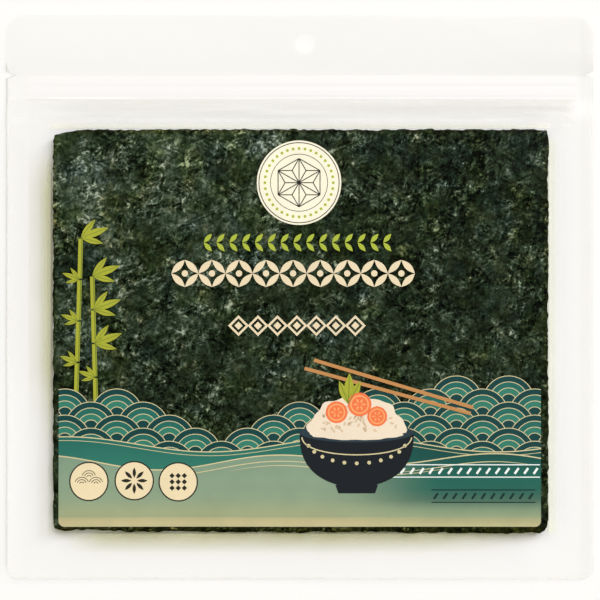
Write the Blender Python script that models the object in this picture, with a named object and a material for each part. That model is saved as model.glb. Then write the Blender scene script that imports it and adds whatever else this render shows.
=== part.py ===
"""A clear resealable pouch with a stack of nori sheets inside, lying on its back.

The sealed pouch is one solid: a flat welded rim, a header with a round hang hole
and two tear notches, a zip in front, and the film draped over the stack.
X runs across the pouch, +Y to its header and +Z up through its printed front.
The origin is on the table, under the middle of the pouch.
"""
import math

import bmesh
import bpy

MM = 0.001

# The pouch, laid flat
POUCH_WIDTH = 249 * MM
POUCH_HEIGHT = 239 * MM
TOP_CORNER_RADIUS = 8.5 * MM
BOTTOM_CORNER_RADIUS = 5.5 * MM
SIDE_SEAL_WIDTH = 8.6 * MM
RIM_THICKNESS = 0.6 * MM
RIM_LIFT = 1.0 * MM            # how far the rim's underside stands off the table
RIM_WAVE = 0.35 * MM

# The header above the zip
HEADER_HEIGHT = 25.6 * MM
HOLE_DIAMETER = 8.5 * MM
HOLE_BELOW_TOP = 12.2 * MM
HOLE_OFF_CENTRE = 2.2 * MM
NOTCH_DEPTH = 4 * MM
NOTCH_WIDTH = 4.2 * MM
NOTCH_BELOW_TOP = 25.2 * MM

# The zip: a band with three ridges, each given as (distance below the band's
# upper edge, width, height)
ZIP_BAND_HEIGHT = 9.6 * MM
ZIP_BAND_RISE = 0.3 * MM
ZIP_RIDGES = (
    (0.7 * MM, 1.2 * MM, 0.4 * MM),
    (5.4 * MM, 1.8 * MM, 1.0 * MM),
    (9.0 * MM, 1.2 * MM, 0.7 * MM),
)
ZIP_END_TAPER = 5 * MM         # the ends are crushed flat by the side seals

# The stack of sheets inside
STACK_WIDTH = 210 * MM
STACK_HEIGHT = 171 * MM
STACK_ABOVE_BOTTOM = 19.8 * MM
STACK_THICKNESS = 5.2 * MM
STACK_CORNER_RADIUS = 3 * MM
STACK_RIPPLE = 0.25 * MM       # the sheets aren't quite flat
DRAPE_POWER = 1.35             # over 1, the film hollows between stack and seal

# How finely the relief is divided, in cells
SEAL_CELLS = 2
DRAPE_CELLS = 6
STACK_CELLS_X = 20
STACK_CELLS_Y = 16
RIDGE_CELLS = 4
HEADER_CELLS = 4
TRIM_MARGIN = 2 * MM           # how far the relief reaches past the outline
ARC_STEPS = 8
HOLE_STEPS = 32
PRISM_HALF_DEPTH = 20 * MM

FILM_COLOUR = (0.93, 0.92, 0.88)
FILM_ROUGHNESS = 0.16
FILM_ALPHA = 0.4

# Levels worked out from the sizes above
HALF_WIDTH = POUCH_WIDTH / 2
TOP = POUCH_HEIGHT / 2
BOTTOM = -POUCH_HEIGHT / 2
SEAL_INNER = HALF_WIDTH - SIDE_SEAL_WIDTH
ZIP_TOP = TOP - HEADER_HEIGHT
ZIP_BOTTOM = ZIP_TOP - ZIP_BAND_HEIGHT
STACK_LOW = BOTTOM + STACK_ABOVE_BOTTOM
STACK_HIGH = STACK_LOW + STACK_HEIGHT
STACK_MIDDLE = (STACK_LOW + STACK_HIGH) / 2


def clear_scene():
    for obj in list(bpy.data.objects):
        bpy.data.objects.remove(obj, do_unlink=True)


def new_collection(name):
    collection = bpy.data.collections.new(name)
    bpy.context.scene.collection.children.link(collection)
    return collection


def film_material():
    material = bpy.data.materials.new("clear_film")
    material.use_nodes = True
    shader = material.node_tree.nodes["Principled BSDF"]
    shader.inputs["Base Color"].default_value = (*FILM_COLOUR, 1)
    shader.inputs["Roughness"].default_value = FILM_ROUGHNESS
    shader.inputs["Metallic"].default_value = 0
    shader.inputs["Alpha"].default_value = FILM_ALPHA
    return material


def blend(low, high, share):
    return low + (high - low) * share


def smooth(share):
    share = min(max(share, 0), 1)
    return share * share * (3 - 2 * share)


def distance_from_stack(x, y):
    """How far a point lies outside the stack's rounded outline, or 0 on it."""
    across = abs(x) - STACK_WIDTH / 2 + STACK_CORNER_RADIUS
    along = abs(y - STACK_MIDDLE) - STACK_HEIGHT / 2 + STACK_CORNER_RADIUS
    if across <= 0 or along <= 0:
        return max(across, along, STACK_CORNER_RADIUS) - STACK_CORNER_RADIUS
    return max(math.hypot(across, along) - STACK_CORNER_RADIUS, 0)


def distance_from_closure(x, y):
    """How far a point lies inside the side seals, the zip and the folded bottom."""
    return max(min(SEAL_INNER - abs(x), ZIP_BOTTOM - y, y - BOTTOM), 0)


def drape_share(x, y):
    """0 on the stack, 1 where the two films meet."""
    outside = distance_from_stack(x, y)
    inside = distance_from_closure(x, y)
    return outside / (outside + inside) if outside > 0 else 0


def rim_height(x, y):
    """Height of the rim's underside, with the slight curl of a welded edge."""
    wave = math.sin(x / (23 * MM)) * math.cos(y / (19 * MM)) + math.sin((x + 2 * y) / (37 * MM))
    return RIM_LIFT + RIM_WAVE * wave / 2


def zip_height(x, y):
    """Height that the zip's band and ridges add in front of the films."""
    depth = ZIP_TOP - y
    if not 0 <= depth <= ZIP_BAND_HEIGHT:
        return 0
    rise = ZIP_BAND_RISE
    for below, width, height in ZIP_RIDGES:
        off = (depth - below) / (width / 2)
        if abs(off) < 1:
            rise = max(rise, ZIP_BAND_RISE + height * math.sqrt(1 - off * off))
    return rise * smooth((SEAL_INNER + ZIP_END_TAPER / 2 - abs(x)) / ZIP_END_TAPER)


def top_height(x, y):
    ripple = math.sin(x / (17 * MM) + 1.1) * math.sin(y / (21 * MM)) * STACK_RIPPLE
    film_over_stack = STACK_THICKNESS + ripple
    rim_top = rim_height(x, y) + RIM_THICKNESS
    share = (1 - drape_share(x, y)) ** DRAPE_POWER
    return blend(rim_top, film_over_stack, share) + zip_height(x, y)


def bottom_height(x, y):
    return blend(0, rim_height(x, y), smooth(drape_share(x, y)))


def spaced(spans):
    """Grid lines through all the spans, each given as (start, end, cells)."""
    lines = [spans[0][0]]
    for start, end, cells in spans:
        lines += [blend(start, end, step / cells) for step in range(1, cells + 1)]
    return lines


def lines_across():
    edge = STACK_WIDTH / 2
    right = [(edge, SEAL_INNER - ZIP_END_TAPER / 2, DRAPE_CELLS),
             (SEAL_INNER - ZIP_END_TAPER / 2, SEAL_INNER, SEAL_CELLS),
             (SEAL_INNER, SEAL_INNER + ZIP_END_TAPER / 2, SEAL_CELLS),
             (SEAL_INNER + ZIP_END_TAPER / 2, HALF_WIDTH + TRIM_MARGIN, SEAL_CELLS)]
    left = [(-end, -start, cells) for start, end, cells in reversed(right)]
    return spaced(left + [(-edge, edge, STACK_CELLS_X)] + right)


def lines_along():
    spans = [(BOTTOM - TRIM_MARGIN, BOTTOM, 1),
             (BOTTOM, STACK_LOW, DRAPE_CELLS + SEAL_CELLS),
             (STACK_LOW, STACK_HIGH, STACK_CELLS_Y),
             (STACK_HIGH, ZIP_BOTTOM, DRAPE_CELLS)]
    level = ZIP_BOTTOM
    for below, width, _ in reversed(ZIP_RIDGES):
        low = ZIP_TOP - below - width / 2
        spans += [(level, low, 1)] if low > level else []
        spans.append((low, low + width, RIDGE_CELLS))
        level = low + width
    spans += [(level, ZIP_TOP, 1), (ZIP_TOP, TOP, HEADER_CELLS), (TOP, TOP + TRIM_MARGIN, 1)]
    return spaced(spans)


def make_relief():
    """The pouch's front and back as one closed slab, larger than its outline."""
    xs, ys = lines_across(), lines_along()
    bm = bmesh.new()
    bmesh.ops.create_grid(bm, x_segments=len(xs) - 1, y_segments=len(ys) - 1, size=0.5)
    for vert in bm.verts:
        column = round((vert.co.x + 0.5) * (len(xs) - 1))
        row = round((vert.co.y + 0.5) * (len(ys) - 1))
        vert.co.x, vert.co.y = xs[column], ys[row]
    raised = bmesh.ops.extrude_face_region(bm, geom=bm.faces[:], use_keep_orig=True)
    front = {item for item in raised["geom"] if isinstance(item, bmesh.types.BMVert)}
    for vert in bm.verts:
        height = top_height if vert in front else bottom_height
        vert.co.z = height(vert.co.x, vert.co.y)
    bmesh.ops.recalc_face_normals(bm, faces=bm.faces)
    mesh = bpy.data.meshes.new("pouch")
    bm.to_mesh(mesh)
    bm.free()
    return mesh


def arc(centre_x, centre_y, radius, start_degrees, steps, sweep_degrees):
    points = []
    for step in range(steps + 1):
        angle = math.radians(start_degrees + sweep_degrees * step / steps)
        points.append((centre_x + radius * math.cos(angle), centre_y + radius * math.sin(angle)))
    return points


def outline_points():
    """The pouch's outline, anticlockwise: rounded corners and two V notches."""
    notch_y = TOP - NOTCH_BELOW_TOP
    low_x, low_y = HALF_WIDTH - BOTTOM_CORNER_RADIUS, BOTTOM + BOTTOM_CORNER_RADIUS
    high_x, high_y = HALF_WIDTH - TOP_CORNER_RADIUS, TOP - TOP_CORNER_RADIUS
    half = NOTCH_WIDTH / 2
    points = arc(low_x, low_y, BOTTOM_CORNER_RADIUS, -90, ARC_STEPS, 90)
    points += [(HALF_WIDTH, notch_y - half), (HALF_WIDTH - NOTCH_DEPTH, notch_y),
               (HALF_WIDTH, notch_y + half)]
    points += arc(high_x, high_y, TOP_CORNER_RADIUS, 0, ARC_STEPS, 90)
    return points + [(-x, y) for x, y in reversed(points)]


def add_closed_spline(curve, points):
    spline = curve.splines.new("POLY")
    spline.points.add(len(points) - 1)
    for point, (x, y) in zip(spline.points, points):
        point.co = (x, y, 0, 1)
    spline.use_cyclic_u = True


def make_outline_prism(collection):
    """A prism with the pouch's outline and its hang hole, to trim the relief."""
    curve = bpy.data.curves.new("pouch_outline", "CURVE")
    curve.dimensions = "2D"
    curve.fill_mode = "BOTH"
    curve.extrude = PRISM_HALF_DEPTH
    add_closed_spline(curve, outline_points())
    hole = arc(HOLE_OFF_CENTRE, TOP - HOLE_BELOW_TOP, HOLE_DIAMETER / 2, 0, HOLE_STEPS, 360)
    add_closed_spline(curve, hole[:-1])
    flat = bpy.data.objects.new("pouch_outline_curve", curve)
    collection.objects.link(flat)
    depsgraph = bpy.context.evaluated_depsgraph_get()
    mesh = bpy.data.meshes.new_from_object(flat.evaluated_get(depsgraph))
    bm = bmesh.new()
    bm.from_mesh(mesh)
    bmesh.ops.remove_doubles(bm, verts=bm.verts, dist=0.01 * MM)
    bmesh.ops.recalc_face_normals(bm, faces=bm.faces)
    bm.to_mesh(mesh)
    bm.free()
    bpy.data.objects.remove(flat)
    prism = bpy.data.objects.new("pouch_outline", mesh)
    prism.hide_render = True
    prism.display_type = "WIRE"
    collection.objects.link(prism)
    return prism


def make_pouch(collection, cutters):
    pouch = bpy.data.objects.new("pouch", make_relief())
    pouch.data.materials.append(film_material())
    collection.objects.link(pouch)
    trim = pouch.modifiers.new("trim", "BOOLEAN")
    trim.operation = "INTERSECT"
    trim.solver = "EXACT"
    trim.object = make_outline_prism(cutters)
    return pouch


clear_scene()
make_pouch(new_collection("nori_pouch"), new_collection("cutters"))
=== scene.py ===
"""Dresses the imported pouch: two clear films, the zip between them, a printed front
and the stack of nori sheets inside.

Lengths are in metres, mostly written as millimetres times MM. Shaders and the print's
layout are in millimetres. The axes are the frame's: X across the pouch, +Y to its header,
+Z up out of its printed front.
"""
import functools
import math
import operator

import bmesh
import bpy
import numpy as np
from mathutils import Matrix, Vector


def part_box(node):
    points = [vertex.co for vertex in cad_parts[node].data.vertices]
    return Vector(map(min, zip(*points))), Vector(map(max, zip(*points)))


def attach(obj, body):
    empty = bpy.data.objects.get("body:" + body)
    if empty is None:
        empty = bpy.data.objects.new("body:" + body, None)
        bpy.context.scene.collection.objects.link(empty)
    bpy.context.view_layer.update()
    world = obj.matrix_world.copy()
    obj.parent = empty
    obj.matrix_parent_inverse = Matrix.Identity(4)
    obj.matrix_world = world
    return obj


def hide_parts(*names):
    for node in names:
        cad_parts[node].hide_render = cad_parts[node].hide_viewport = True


MM = 0.001

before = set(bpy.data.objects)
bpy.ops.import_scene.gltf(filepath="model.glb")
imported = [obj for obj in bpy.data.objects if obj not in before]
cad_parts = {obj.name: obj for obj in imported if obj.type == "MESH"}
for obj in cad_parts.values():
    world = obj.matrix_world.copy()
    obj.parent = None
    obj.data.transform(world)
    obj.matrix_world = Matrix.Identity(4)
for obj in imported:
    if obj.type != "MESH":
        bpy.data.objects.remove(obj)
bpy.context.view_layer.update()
LOW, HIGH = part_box("pouch")

# ---------------- the pouch's sizes
HALF_WIDTH = (HIGH[0] - LOW[0]) / 2
TOP, BOTTOM = HIGH[1], LOW[1]
TOP_CORNER_RADIUS = 8.5 * MM
BOTTOM_CORNER_RADIUS = 5.5 * MM
SEAL_INNER = HALF_WIDTH - 8.6 * MM
RIM_LIFT = 1.0 * MM
RIM_WAVE = 0.35 * MM
RIM_WAVE_LENGTHS = (23 * MM, 19 * MM, 37 * MM)
RIM_THICKNESS = 0.3 * MM
HOLE_CENTRE = (2.2 * MM, TOP - 12.2 * MM)
HOLE_RADIUS = 4.25 * MM
NOTCH_Y = TOP - 25.2 * MM
NOTCH_DEPTH = 3.7 * MM
NOTCH_WIDTH = 2.8 * MM
ZIP_TOP = TOP - 25.6 * MM
ZIP_BOTTOM = ZIP_TOP - 9.6 * MM
ZIP_HALF = (ZIP_TOP - ZIP_BOTTOM) / 2
ZIP_SAG_REACH = 9 * MM  # how far from the zip its weight takes some of the rim's lift away
ZIP_BAND_RISE = 0.3 * MM
# Each ridge as (distance below the band's upper edge, width, height)
ZIP_RIDGES = (
    (0.7 * MM, 1.4 * MM, 0.20 * MM),
    (5.4 * MM, 2.6 * MM, 0.30 * MM),
    (8.8 * MM, 1.6 * MM, 0.25 * MM),
)
# Depths below the band's upper edge of painted lines on the zip: shade in the groove and the furrow,
# and a highlight at the gleam.
ZIP_GROOVE = 8.6 * MM
ZIP_FURROW = 3.9 * MM
ZIP_GLEAM = 9.45 * MM
ZIP_END_TAPER = 5 * MM
ZIP_RELIEF = 0.25  # the share of the ridges' height that the film follows
ZIP_EDGE = 1.2 * MM
ZIP_STRIP = 0.05 * MM
ZIP_LEFT, ZIP_RIGHT, ZIP_LOW = -116.2 * MM, 117.2 * MM, ZIP_BOTTOM - 0.5 * MM
DRAPE_POWER = 1.35
BEAD_TOP = TOP - 17 * MM
# The bead's section as (distance in from the outline, height over the rim's underside)
BEAD_SECTION = ((0.02 * MM, -0.05 * MM), (0.04 * MM, 0.30 * MM), (0.22 * MM, 0.48 * MM),
                (0.60 * MM, 0.48 * MM), (0.78 * MM, 0.15 * MM))

# The stack under the film
STACK_HALF_WIDTH = 105 * MM
STACK_LOW = BOTTOM + 19.8 * MM
STACK_HIGH = STACK_LOW + 171 * MM
STACK_MIDDLE = (STACK_LOW + STACK_HIGH) / 2
STACK_CORNER_RADIUS = 3 * MM
STACK_TOP = 5.2 * MM
STACK_RIPPLE = 0.25 * MM
RIPPLE_LENGTHS = (17 * MM, 21 * MM)
RIPPLE_START = 1.1
SHEETS = 12
SHEET_THICKNESS = 0.22 * MM
FIRST_SHEET = 0.25 * MM
TOP_SHEET = 4.5 * MM


def srgb(red, green, blue):
    """A colour given as 0 to 255, in the linear values that shaders take."""
    def linear(value):
        value /= 255
        return value / 12.92 if value <= 0.04045 else ((value + 0.055) / 1.055) ** 2.4
    return tuple(linear(value) for value in (red, green, blue))


# ---------------- heights
NOISE_SIZE = 256  # cells of a noise table, before it repeats
CREASE = 0.16 * MM
HEADER_CREASE = 0.10 * MM
TAUT_CREASE = 0.05 * MM
CORNER_CREASE = 0.22 * MM
CORNER_FOLDS = 9  # in each full turn about a corner


def smooth(share):
    share = np.clip(share, 0, 1)
    return share * share * (3 - 2 * share)


def lattice_noise(x, y, cell, seed):
    """Smooth noise from -1 to 1 whose bumps are about one cell wide."""
    table = np.random.default_rng(seed).uniform(-1, 1, (NOISE_SIZE, NOISE_SIZE))
    table = np.pad(table, (0, 1), mode="wrap")
    u, v = np.asarray(x) / cell + NOISE_SIZE / 2, np.asarray(y) / cell + NOISE_SIZE / 2
    i, j = np.floor(u).astype(int), np.floor(v).astype(int)
    share_u, share_v = smooth(u - i), smooth(v - j)
    i, j = i % NOISE_SIZE, j % NOISE_SIZE
    low = table[i, j] * (1 - share_u) + table[i + 1, j] * share_u
    high = table[i, j + 1] * (1 - share_u) + table[i + 1, j + 1] * share_u
    return low * (1 - share_v) + high * share_v


def drape_share(x, y):
    """0 on the stack, 1 where the two films meet."""
    across = np.abs(x) - STACK_HALF_WIDTH + STACK_CORNER_RADIUS
    along = np.abs(y - STACK_MIDDLE) - (STACK_HIGH - STACK_LOW) / 2 + STACK_CORNER_RADIUS
    corner = np.hypot(np.maximum(across, 0), np.maximum(along, 0))
    outside = np.maximum(corner - STACK_CORNER_RADIUS, 0)
    closure = np.minimum(np.minimum(SEAL_INNER - np.abs(x), ZIP_BOTTOM - y), y - BOTTOM)
    inside = np.maximum(closure, 0)
    return outside / np.maximum(outside + inside, 1e-9)


def rim_height(x, y):
    """Height of the rim's underside: a slight curl, and a sag along the heavier zip."""
    across, along, slant = RIM_WAVE_LENGTHS
    wave = np.sin(x / across) * np.cos(y / along) + np.sin((x + 2 * y) / slant)
    from_zip = np.maximum(np.abs(y - (ZIP_TOP + ZIP_BOTTOM) / 2) - ZIP_HALF, 0)
    return (RIM_LIFT + RIM_WAVE * wave / 2) * (1 - smooth(1 - from_zip / ZIP_SAG_REACH))


def zip_height(x, y):
    depth = ZIP_TOP - y
    rise = np.full(np.shape(y), ZIP_BAND_RISE)
    for below, width, height in ZIP_RIDGES:
        off = np.clip(np.abs(depth - below) / (width / 2), 0, 1)
        rise = rise + height * (1 + np.cos(np.pi * off)) / 2
    from_edge = ZIP_HALF - np.abs(y - (ZIP_TOP + ZIP_BOTTOM) / 2)
    ends = smooth((SEAL_INNER + ZIP_END_TAPER / 2 - np.abs(x)) / ZIP_END_TAPER)
    return rise * smooth(from_edge / ZIP_EDGE + 0.5) * ends


def ripple(x, y):
    across, along = RIPPLE_LENGTHS
    return np.sin(x / across + RIPPLE_START) * np.sin(y / along) * STACK_RIPPLE


def film_front(x, y):
    """The front film without its fine creases."""
    share = drape_share(x, y)
    rim_top = rim_height(x, y) + RIM_THICKNESS
    drape = (1 - share) ** DRAPE_POWER
    return rim_top + (STACK_TOP + ripple(x, y) - rim_top) * drape + ZIP_RELIEF * zip_height(x, y)


def film_back(x, y):
    return rim_height(x, y) * smooth(drape_share(x, y))


def creases(x, y):
    """Fine creases of the front film, none of them below its smooth form on the stack."""
    share = drape_share(x, y)
    loose = 4 * share * (1 - share)
    long_folds = lattice_noise(x, y / 9, 3.2 * MM, 11) * smooth((np.abs(x) - 100 * MM) / (5 * MM))
    level_folds = lattice_noise(x / 12, y, 2.4 * MM, 12) * smooth((y - STACK_HIGH) / (2 * MM))
    foot_folds = lattice_noise(x / 12, y, 3 * MM, 13) * smooth((STACK_LOW - y) / (3 * MM))
    slack = CREASE * loose * (long_folds + 0.25 * level_folds + foot_folds)
    header = HEADER_CREASE * lattice_noise(x / 2.5, y, 9 * MM, 14) * smooth((y - ZIP_TOP) / (3 * MM))
    taut = TAUT_CREASE * (1 + lattice_noise(x, y, 13 * MM, 15)) * (share <= 0)
    inward = np.minimum(HALF_WIDTH - np.abs(x), np.minimum(TOP - y, y - BOTTOM))
    return (slack + header + corner_creases(x, y, loose)) * smooth(inward / (4 * MM)) + taut


def corner_creases(x, y, loose):
    """Creases that run out from the stack's four corners."""
    folds = np.zeros(np.shape(x))
    for side in (-1, 1):
        for level in (STACK_LOW, STACK_HIGH):
            away_x = side * x - STACK_HALF_WIDTH + 2 * MM
            away_y = np.sign(level - STACK_MIDDLE) * (y - level) + 2 * MM
            angle = np.arctan2(away_y, away_x)
            reach = np.hypot(away_x, away_y)
            near = smooth(1 - (reach - 12 * MM) / (14 * MM)) * smooth(reach / (4 * MM))
            folds += CORNER_CREASE * np.sin(angle * CORNER_FOLDS + side) * near * loose
    return folds


# ---------------- meshes
SHARP_ANGLE = math.radians(50)


def new_object(name, data):
    made = bpy.data.objects.new(name, data)
    bpy.context.scene.collection.objects.link(made)
    return made


def new_piece(name, mesh, material):
    piece = new_object(name, mesh)
    mesh.materials.clear()
    mesh.materials.append(material)
    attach(piece, "root")
    return piece


def grid_faces(rows, columns):
    """Faces between the points of a grid."""
    index = np.arange(rows * columns).reshape(rows, columns)
    faces = np.stack([index[:-1, :-1], index[:-1, 1:], index[1:, 1:], index[1:, :-1]], -1)
    return faces.reshape(-1, 4)


def smooth_mesh(name, points, faces):
    mesh = bpy.data.meshes.new(name)
    mesh.from_pydata(points.tolist(), [], faces.tolist())
    mesh.shade_smooth()
    return mesh


def face_up(bm):
    for face in bm.faces:
        if face.normal.z < 0:
            face.normal_flip()


def cut(bm, level, normal, **settings):
    """Cuts a mesh at the plane that stands level far along its normal."""
    geometry = bm.verts[:] + bm.edges[:] + bm.faces[:]
    place = [level * part for part in normal]
    bmesh.ops.bisect_plane(bm, geom=geometry, plane_co=place, plane_no=normal, **settings)


def finished(bm, name):
    mesh = bpy.data.meshes.new(name)
    bm.to_mesh(mesh)
    bm.free()
    return mesh


def closed_sheet(name, x, y, front, back):
    """A closed thin body over a grid of points, with a wall round its edge."""
    rows, columns = x.shape
    points = np.concatenate([np.stack([x, y, z], -1).reshape(-1, 3) for z in (front, back)])
    index = np.arange(rows * columns).reshape(rows, columns)
    upper = grid_faces(rows, columns)
    lower = upper[:, ::-1] + rows * columns
    rim = np.concatenate([index[0, :-1], index[:-1, -1], index[-1, :0:-1], index[:0:-1, 0]])
    following = np.roll(rim, -1)
    wall = np.stack([rim, rim + rows * columns, following + rows * columns, following], -1)
    mesh = smooth_mesh(name, points, np.concatenate([upper, lower, wall]))
    mesh.set_sharp_from_angle(angle=SHARP_ANGLE)
    return mesh


def turned(centre, length, degrees):
    angle = math.radians(degrees)
    return centre[0] + length * math.cos(angle), centre[1] + length * math.sin(angle)


def arc(centre, radius, start, sweep, steps):
    """Points along an arc whose start and sweep are in degrees."""
    return [turned(centre, radius, start + sweep * step / steps) for step in range(steps + 1)]


def pouch_outline():
    """The outline, anticlockwise: rounded corners and two V notches."""
    half = NOTCH_WIDTH / 2
    low = (HALF_WIDTH - BOTTOM_CORNER_RADIUS, BOTTOM + BOTTOM_CORNER_RADIUS)
    high = (HALF_WIDTH - TOP_CORNER_RADIUS, TOP - TOP_CORNER_RADIUS)
    points = arc(low, BOTTOM_CORNER_RADIUS, -90, 90, 10)
    points += [(HALF_WIDTH, NOTCH_Y - half), (HALF_WIDTH - NOTCH_DEPTH, NOTCH_Y),
               (HALF_WIDTH, NOTCH_Y + half)]
    points += arc(high, TOP_CORNER_RADIUS, 0, 90, 14)
    return points + [(-x, y) for x, y in reversed(points)]


def filled(loops, grid=None):
    """A flat mesh inside the loops, cut along a square grid so that it can be draped."""
    bm = bmesh.new()
    for loop in loops:
        verts = [bm.verts.new((x, y, 0)) for x, y in loop]
        for start, end in zip(verts, verts[1:] + verts[:1]):
            bm.edges.new((start, end))
    bmesh.ops.triangle_fill(bm, use_beauty=True, use_dissolve=False, edges=bm.edges[:])
    face_up(bm)
    if grid:
        points = np.array([point for loop in loops for point in loop])
        for along, normal in zip(points.T, ((1, 0, 0), (0, 1, 0))):
            first, end = math.floor(along.min() / grid) + 1, math.ceil(along.max() / grid)
            for level in np.arange(first, end) * grid:
                cut(bm, level, normal)
    return bm


def make_prism(loops, half_depth):
    """An upright prism inside the loops, to trim a closed sheet with."""
    bm = filled(loops)
    base = bmesh.ops.extrude_face_region(bm, geom=bm.faces[:], use_keep_orig=True)
    raised = {item for item in base["geom"] if isinstance(item, bmesh.types.BMVert)}
    for vert in bm.verts:
        vert.co.z = half_depth if vert in raised else -half_depth
    bmesh.ops.recalc_face_normals(bm, faces=bm.faces)
    return finished(bm, "prism")


def trimmed(mesh, loops):
    """The part of a closed mesh that lies inside the loops, seen from above."""
    body, prism = new_object(mesh.name, mesh), new_object("prism", make_prism(loops, 20 * MM))
    trim = body.modifiers.new("trim", "BOOLEAN")
    trim.operation, trim.solver, trim.object = "INTERSECT", "MANIFOLD", prism
    depsgraph = bpy.context.evaluated_depsgraph_get()
    result = bpy.data.meshes.new_from_object(body.evaluated_get(depsgraph))
    result.name = mesh.name
    for obj in (body, prism):
        bpy.data.objects.remove(obj)
    return result


def lines(start, *stretches):
    """Grid lines from the start through stretches, each given as (end, step)."""
    levels = [start]
    for end, step in stretches:
        count = max(1, math.ceil((end - levels[-1]) / step))
        levels += list(np.linspace(levels[-1], end, count + 1)[1:])
    return np.array(levels)


# ---------------- shader nodes
COLOUR_INPUTS, COLOUR_OUTPUT = (6, 7), 2  # places of the colour sockets on a mix node


class Value:
    """What a node gives. The signs +, - and * on it add maths nodes."""

    def __init__(self, socket):
        self.socket, self.tree = socket, socket.id_data

    def maths(self, operation, *others):
        inputs = dict(enumerate((self, *others)))
        return Value(node(self.tree, "Math", inputs, operation=operation).outputs[0])

    def __add__(self, other):
        return self.maths("ADD", other)

    def __sub__(self, other):
        return self.maths("SUBTRACT", other)

    def __rsub__(self, other):
        return self * -1 + other

    def __mul__(self, other):
        return self.maths("MULTIPLY", other)

    def __abs__(self):
        return self.maths("ABSOLUTE")

    def or_more(self, other):
        return self.maths("MAXIMUM", other)


def node(tree, kind, inputs=None, **settings):
    """Adds a node, links those of its inputs that are Values and sets the others."""
    made = tree.nodes.new("ShaderNode" + kind)
    for name, value in settings.items():
        setattr(made, name, value)
    for name, value in (inputs or {}).items():
        if isinstance(value, Value):
            tree.links.new(value.socket, made.inputs[name])
        else:
            made.inputs[name].default_value = value
    return made


def total(values):
    return functools.reduce(operator.add, values)


def vector(place, operation, *others):
    inputs = dict(enumerate((place, *others)))
    return Value(node(place.tree, "VectorMath", inputs, operation=operation).outputs[0])


def split(place):
    parts = node(place.tree, "SeparateXYZ", {0: place}).outputs
    return Value(parts["X"]), Value(parts["Y"])


def noise(place, size, detail=2, roughness=0.5, offset=0):
    """Noise from about 0 to 1 with bumps of the given size in millimetres."""
    moved = vector(place, "ADD", (offset, offset * 0.7, 0))
    made = node(place.tree, "TexNoise", {
        "Vector": moved, "Scale": 1 / size, "Detail": detail, "Roughness": roughness})
    return Value(made.outputs["Fac"])


def drawn_out(place, stretch, size, detail):
    """Noise whose coordinates are stretched first, which makes streaks of it."""
    return noise(vector(place, "MULTIPLY", (*stretch, 1)), size, detail)


def spread(value, low, high, to_low=0.0, to_high=1.0):
    """Takes low to high smoothly to to_low to to_high, and stays level past either."""
    made = node(value.tree, "MapRange", {
        "Value": value, "From Min": low, "From Max": high,
        "To Min": to_low, "To Max": to_high}, interpolation_type="SMOOTHSTEP")
    return Value(made.outputs["Result"])


def mixed(share, first, second, blend="MIX"):
    """Two colours, each a Value or three numbers, blended by a share."""
    inputs = {0: share}
    for place, colour in zip(COLOUR_INPUTS, (first, second)):
        inputs[place] = colour if isinstance(colour, Value) else (*colour, 1)
    made = node(share.tree, "Mix", inputs, data_type="RGBA", blend_type=blend)
    return Value(made.outputs[COLOUR_OUTPUT])


def ramp(value, stops):
    """A colour ramp through (place, colour) stops."""
    made = node(value.tree, "ValToRGB", {"Fac": value})
    elements = made.color_ramp.elements
    while len(elements) < len(stops):
        elements.new(0.5)
    for element, (place, colour) in zip(elements, stops):
        element.position = place
        element.color = (*colour, 1)
    return Value(made.outputs["Color"])


def coated(under, share, over):
    """A shader with a share of another over it."""
    inputs = {"Fac": share, 1: under, 2: over}
    return Value(node(under.tree, "MixShader", inputs).outputs[0])


def plain(tree, kind, colour, **inputs):
    """A shader of one kind and colour."""
    return Value(node(tree, "Bsdf" + kind, {"Color": (*colour, 1), **inputs}).outputs[0])


def plastic(colour, roughness, specular, **inputs):
    made = node(colour.tree, "BsdfPrincipled", {
        "Base Color": colour, "Roughness": roughness, "Specular IOR Level": specular, **inputs})
    return Value(made.outputs[0])


def new_material(name, surface, *details):
    """A material whose surface is made from the object's coordinates in millimetres."""
    material = bpy.data.materials.new(name)
    material.use_nodes = True
    tree = material.node_tree
    tree.nodes.clear()
    place = Value(node(tree, "TexCoord").outputs["Object"])
    made = surface(vector(place, "MULTIPLY", (1 / MM,) * 3), *details)
    node(tree, "OutputMaterial", {"Surface": made})
    return material


def outside_of(x, y, half_width, low, high):
    """Distance outside a rectangle in millimetres, negative inside it."""
    along = abs(y - (low + high) / 2 / MM) - (high - low) / 2 / MM
    return (abs(x) - half_width / MM).or_more(along)


# ---------------- seaweed
NORI_TONES = (
    (0.00, srgb(2, 4, 2)),
    (0.20, srgb(11, 17, 8)),
    (0.40, srgb(31, 42, 27)),
    (0.50, srgb(43, 56, 40)),
    (0.60, srgb(58, 71, 55)),
    (0.80, srgb(98, 111, 93)),
    (1.00, srgb(168, 178, 160)),
)
TONE_LEVEL = 0.39
BUMP_DEPTH = 0.3 * MM
SHRED_ANGLE = 22
SHRED_PATCHES = ((-30, 6.5), (75, 5.0))  # (angle, size of the patches that have it)
FIBRES = ((2.6, 0.10, 31, 0.17), (1.9, 0.12, 57, 0.13),
          (3.1, 0.09, 83, -0.16))  # (size, width, seed, strength)
TINTS = ((11, 80, srgb(196, 212, 236)), (8, 120, srgb(244, 224, 190)),
         (13, 150, srgb(226, 234, 178)))  # (size of its patches, seed, colour)
EDGE_TINT = srgb(236, 222, 170)
LOW_EDGE_TINT = srgb(255, 228, 140)
EDGE_SHARE = 0.8


def cells(place, size):
    """Flake-like cells: a random value for each, and the distance from its middle."""
    made = node(place.tree, "TexVoronoi", {"Vector": place, "Scale": 1 / size},
                voronoi_dimensions="2D")
    value = node(place.tree, "SeparateColor", {0: Value(made.outputs["Color"])})
    return Value(value.outputs[0]), Value(made.outputs["Distance"])


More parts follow.
